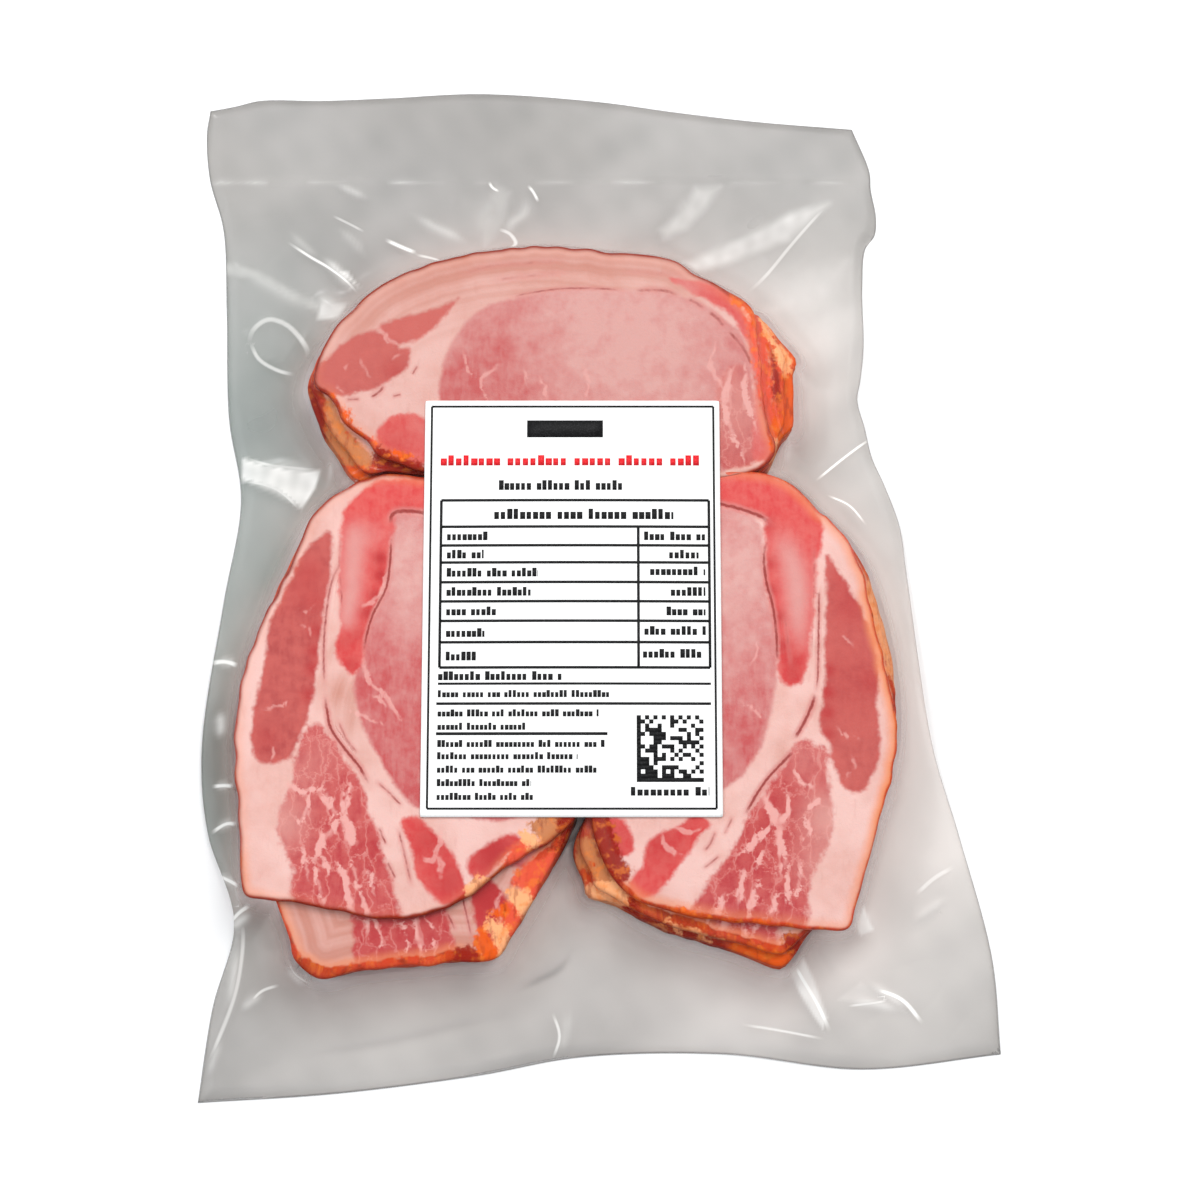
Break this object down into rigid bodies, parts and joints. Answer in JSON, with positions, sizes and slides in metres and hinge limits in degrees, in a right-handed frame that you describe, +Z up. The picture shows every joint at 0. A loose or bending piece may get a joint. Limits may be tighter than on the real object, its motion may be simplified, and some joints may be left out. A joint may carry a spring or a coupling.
{
  "type": "smoked pork loin pack",
  "caption": "Clear vacuum bag of sliced smoked pork loin lying flat, its slices in shingled stacks under draped film with a wide wavy margin, and a white label where the stacks meet.",
  "frame": {"origin": "middle of the pack's footprint, on the surface that it lies on", "axes": "+Y along the bag towards its sealed head, +Z up through the label's face, +X to the right as the label is read"},
  "size_m": [0.276, 0.357, 0.0235],
  "materials": {
    "packed_meat": "gloss",
    "label_paper": "satin",
    "film": "clear gloss",
    "meat": "moist",
    "print": "satin"
  },
  "bodies": {
    "root": {"bag": "packed_meat", "label": "label_paper"}
  },
  "joints": []
}
